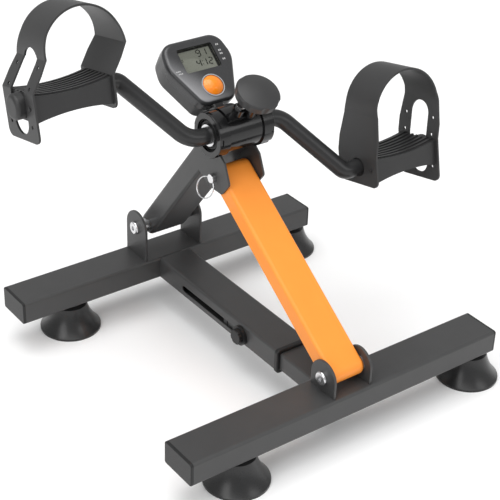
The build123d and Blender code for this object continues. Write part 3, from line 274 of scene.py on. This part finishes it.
# ---------------------------------------------------------------- softened edges on the CAD nodes
SOFT_EDGES = {
    "rear_ears": 0.35,
    "front_ears": 0.35,
    "top_ears": 0.35,
    "left_pedal_body": 0.35,
    "right_pedal_body": 0.35,
    "left_pedal_strap": 0.4,
    "right_pedal_strap": 0.4,
    "base_knob": 0.3,
    "console_bracket": 0.5,
    "hub_collars": 0.25,
    "bracket_screw": 0.25,
    "rear_pivot_nut": 0.3,
    "front_pivot_nut": 0.3,
    "tension_knob": 0.4,
}
for name, width in SOFT_EDGES.items():
    node = nodes[name]
    weld = node.modifiers.new("weld", "WELD")
    weld.merge_threshold = 0.00001
    soften = node.modifiers.new("soften", "BEVEL")
    soften.width = width * MM
    soften.segments = 2
    soften.limit_method = "ANGLE"
    soften.angle_limit = SHARP
    soften.use_clamp_overlap = True
    weighted = node.modifiers.new("weighted", "WEIGHTED_NORMAL")
    weighted.weight = 80
    weighted.keep_sharp = False


# ---------------------------------------------------------------- display
record = frame["record"]
press = next(j for j in record["behaviour"]["joints"] if j["name"] == "console_button_press")
face_normal = -Vector(press["axis"]).normalized()
face_right = Vector((1, 0, 0))
face_up = face_normal.cross(face_right)
lens_low, lens_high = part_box("display_lens")
lens_middle = (lens_low + lens_high) / 2
LENS_HALF_DEPTH = 0.6 * MM
lcd_origin = lens_middle - face_normal * LENS_HALF_DEPTH
face_origin = lens_middle + face_normal * (LENS_HALF_DEPTH + 2.0 * MM)


def placed(origin, x, y, lift=0.0):
    """A point on the console given in millimetres across and up its face."""
    return origin + face_right * x * MM + face_up * y * MM + face_normal * lift * MM


def add_bar(bm, origin, x, y, width, height, low, high, slant=0.0):
    """A thin raised bar, centred at x, y, leaning by slant."""
    half_w, half_h = width / 2, height / 2
    corners = ((-half_w, -half_h), (half_w, -half_h), (half_w, half_h), (-half_w, half_h))
    flat = [(x + cx + slant * (cy + y), y + cy) for cx, cy in corners]
    lower = [bm.verts.new(placed(origin, px, py, low)) for px, py in flat]
    upper = [bm.verts.new(placed(origin, px, py, high)) for px, py in flat]
    bm.faces.new(upper)
    bm.faces.new(list(reversed(lower)))
    for index in range(4):
        nxt = (index + 1) % 4
        bm.faces.new((lower[index], lower[nxt], upper[nxt], upper[index]))


SEGMENTS = {
    "1": "bc",
    "2": "abged",
    "4": "fgbc",
    "9": "abcdfg",
}


def add_digit(bm, character, x, y, width, height):
    """A seven-segment digit of thin bars."""
    stroke = height * 0.15
    gap = stroke * 0.35
    half_run = height / 2 - stroke * 0.5
    bars = {
        "a": (0, half_run, width - stroke - gap, stroke),
        "g": (0, 0, width - stroke - gap, stroke),
        "d": (0, -half_run, width - stroke - gap, stroke),
        "f": (-width / 2, half_run / 2, stroke, half_run - gap),
        "b": (width / 2, half_run / 2, stroke, half_run - gap),
        "e": (-width / 2, -half_run / 2, stroke, half_run - gap),
        "c": (width / 2, -half_run / 2, stroke, half_run - gap),
    }
    for segment in SEGMENTS[character]:
        bx, by, bw, bh = bars[segment]
        add_bar(bm, lcd_origin, x + bx, y + by, bw, bh, 0.0, 0.06, slant=0.08)


def mesh_piece(name, bm, material):
    """Turn a bmesh into a scene object with one material."""
    mesh = bpy.data.meshes.new(name)
    bmesh.ops.recalc_face_normals(bm, faces=bm.faces)
    bm.to_mesh(mesh)
    bm.free()
    mesh.materials.append(material)
    piece = bpy.data.objects.new(name, mesh)
    bpy.context.scene.collection.objects.link(piece)
    return piece


digits = bmesh.new()
add_digit(digits, "9", 3.0, 6.6, 4.4, 8.6)
add_digit(digits, "1", 10.0, 6.6, 4.4, 8.6)
add_digit(digits, "4", -0.5, -4.6, 4.4, 8.6)
for dot_y in (-2.8, -6.4):
    add_bar(digits, lcd_origin, 4.2, dot_y, 0.9, 0.9, 0.0, 0.06, slant=0.08)
add_digit(digits, "1", 6.6, -4.6, 4.4, 8.6)
add_digit(digits, "2", 14.0, -4.6, 4.4, 8.6)
for tick_y in (3.2, 1.4):
    add_bar(digits, lcd_origin, -18.2, tick_y, 1.6, 0.9, 0.0, 0.06)
# Painted shadow: dark ink bars round the display window, widest along the top and right, stand in
# for the shade that the window's depth casts on the LCD.
PAINTED_WINDOW_SHADOW = ((0, 12.9, 43, 2.4), (0, -13.4, 43, 1.2), (-20.7, 0, 1.6, 28), (20.0, 0, 3.0, 28))
for shadow_bar in PAINTED_WINDOW_SHADOW:
    add_bar(digits, lcd_origin, *shadow_bar, 0.0, 0.05)
lcd_digits_and_window_shadow = mesh_piece("lcd_digits_and_window_shadow", digits, ink_and_window_shadow)
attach(lcd_digits_and_window_shadow, "grey_leg")

marks = bmesh.new()
for row, (mark_x, mark_width) in enumerate(((-30.0, 5.0), (-29.0, 4.0))):
    for step in range(3):
        left = mark_x + step * 1.9 - mark_width / 2
        add_bar(marks, face_origin, left, -9.5 - row * 3.0, 1.2, 1.3, -0.05, 0.06)
for mark_y in (10.0, 3.0, -1.0, -7.5):
    for step in range(2):
        add_bar(marks, face_origin, 26.2 + step * 1.9, mark_y, 1.2, 1.9, -0.05, 0.06)
face_marks = mesh_piece("face_marks", marks, label)
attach(face_marks, "grey_leg")

# ---------------------------------------------------------------- floor, light and camera
scene = bpy.context.scene
bpy.ops.mesh.primitive_plane_add(size=14, location=(0, 0, 0))
floor = bpy.context.object
floor.name = "studio_floor"
floor_mat, floor_nodes, floor_links, floor_bsdf = new_material("studio_white")
floor_tone = noise(floor_nodes, floor_links, 1.5, 2.0)
floor_links.new(
    mix_colour(floor_nodes, floor_links, floor_tone, (0.93, 0.93, 0.93), (0.95, 0.95, 0.95)),
    floor_bsdf.inputs["Base Color"],
)
floor_bsdf.inputs["Roughness"].default_value = 0.9
floor_bsdf.inputs["Specular IOR Level"].default_value = 0.1
floor.data.materials.append(floor_mat)

world = bpy.data.worlds.new("studio")
world.use_nodes = True
world.node_tree.nodes["Background"].inputs["Color"].default_value = (1, 1, 1, 1)
world.node_tree.nodes["Background"].inputs["Strength"].default_value = 0.55
scene.world = world


def add_softbox(name, place, aim, width, height, power):
    """A rectangular studio light."""
    data = bpy.data.lights.new(name, "AREA")
    data.shape = "RECTANGLE"
    data.size = width
    data.size_y = height
    data.energy = power
    light = bpy.data.objects.new(name, data)
    light.location = place
    light.rotation_mode = "QUATERNION"
    light.rotation_quaternion = (Vector(aim) - Vector(place)).to_track_quat("-Z", "Y")
    scene.collection.objects.link(light)


add_softbox("softbox_top", (-0.3, 0.2, 2.2), (0, 0, 0.1), 1.4, 1.4, 13)
add_softbox("softbox_left", (-2.0, -0.7, 1.3), (0, 0, 0.2), 1.0, 1.4, 11)
add_softbox("softbox_front", (0.9, -2.2, 1.5), (0, 0, 0.2), 1.4, 0.8, 7)

overhead_data = bpy.data.lights.new("overhead", "SUN")
overhead_data.energy = 1.35
overhead_data.angle = radians(70)
overhead = bpy.data.objects.new("overhead", overhead_data)
overhead.rotation_euler = (radians(8), radians(-12), 0)
scene.collection.objects.link(overhead)

CAMERA_AZIMUTH = radians(-37.467)
CAMERA_ELEVATION = radians(31.066)
CAMERA_ROLL = radians(2.156)
back = Vector((
    sin(CAMERA_AZIMUTH) * cos(CAMERA_ELEVATION),
    -cos(CAMERA_AZIMUTH) * cos(CAMERA_ELEVATION),
    sin(CAMERA_ELEVATION),
))
level_right = (-back).cross(Vector((0, 0, 1))).normalized()
level_up = level_right.cross(-back)
right = level_right * cos(CAMERA_ROLL) + level_up * sin(CAMERA_ROLL)
up = level_up * cos(CAMERA_ROLL) - level_right * sin(CAMERA_ROLL)
camera_data = bpy.data.cameras.new("camera")
camera_data.sensor_width = 36
camera_data.lens = 99.28
camera_data.clip_start = 0.05
camera_data.clip_end = 50
camera = bpy.data.objects.new("camera", camera_data)
scene.collection.objects.link(camera)
axes = Matrix((right, up, back)).transposed().to_4x4()
camera.matrix_world = Matrix.Translation(Vector((-0.75517, -0.98810, 0.88719))) @ axes
scene.camera = camera

scene.view_settings.view_transform = "Standard"
scene.view_settings.look = "None"
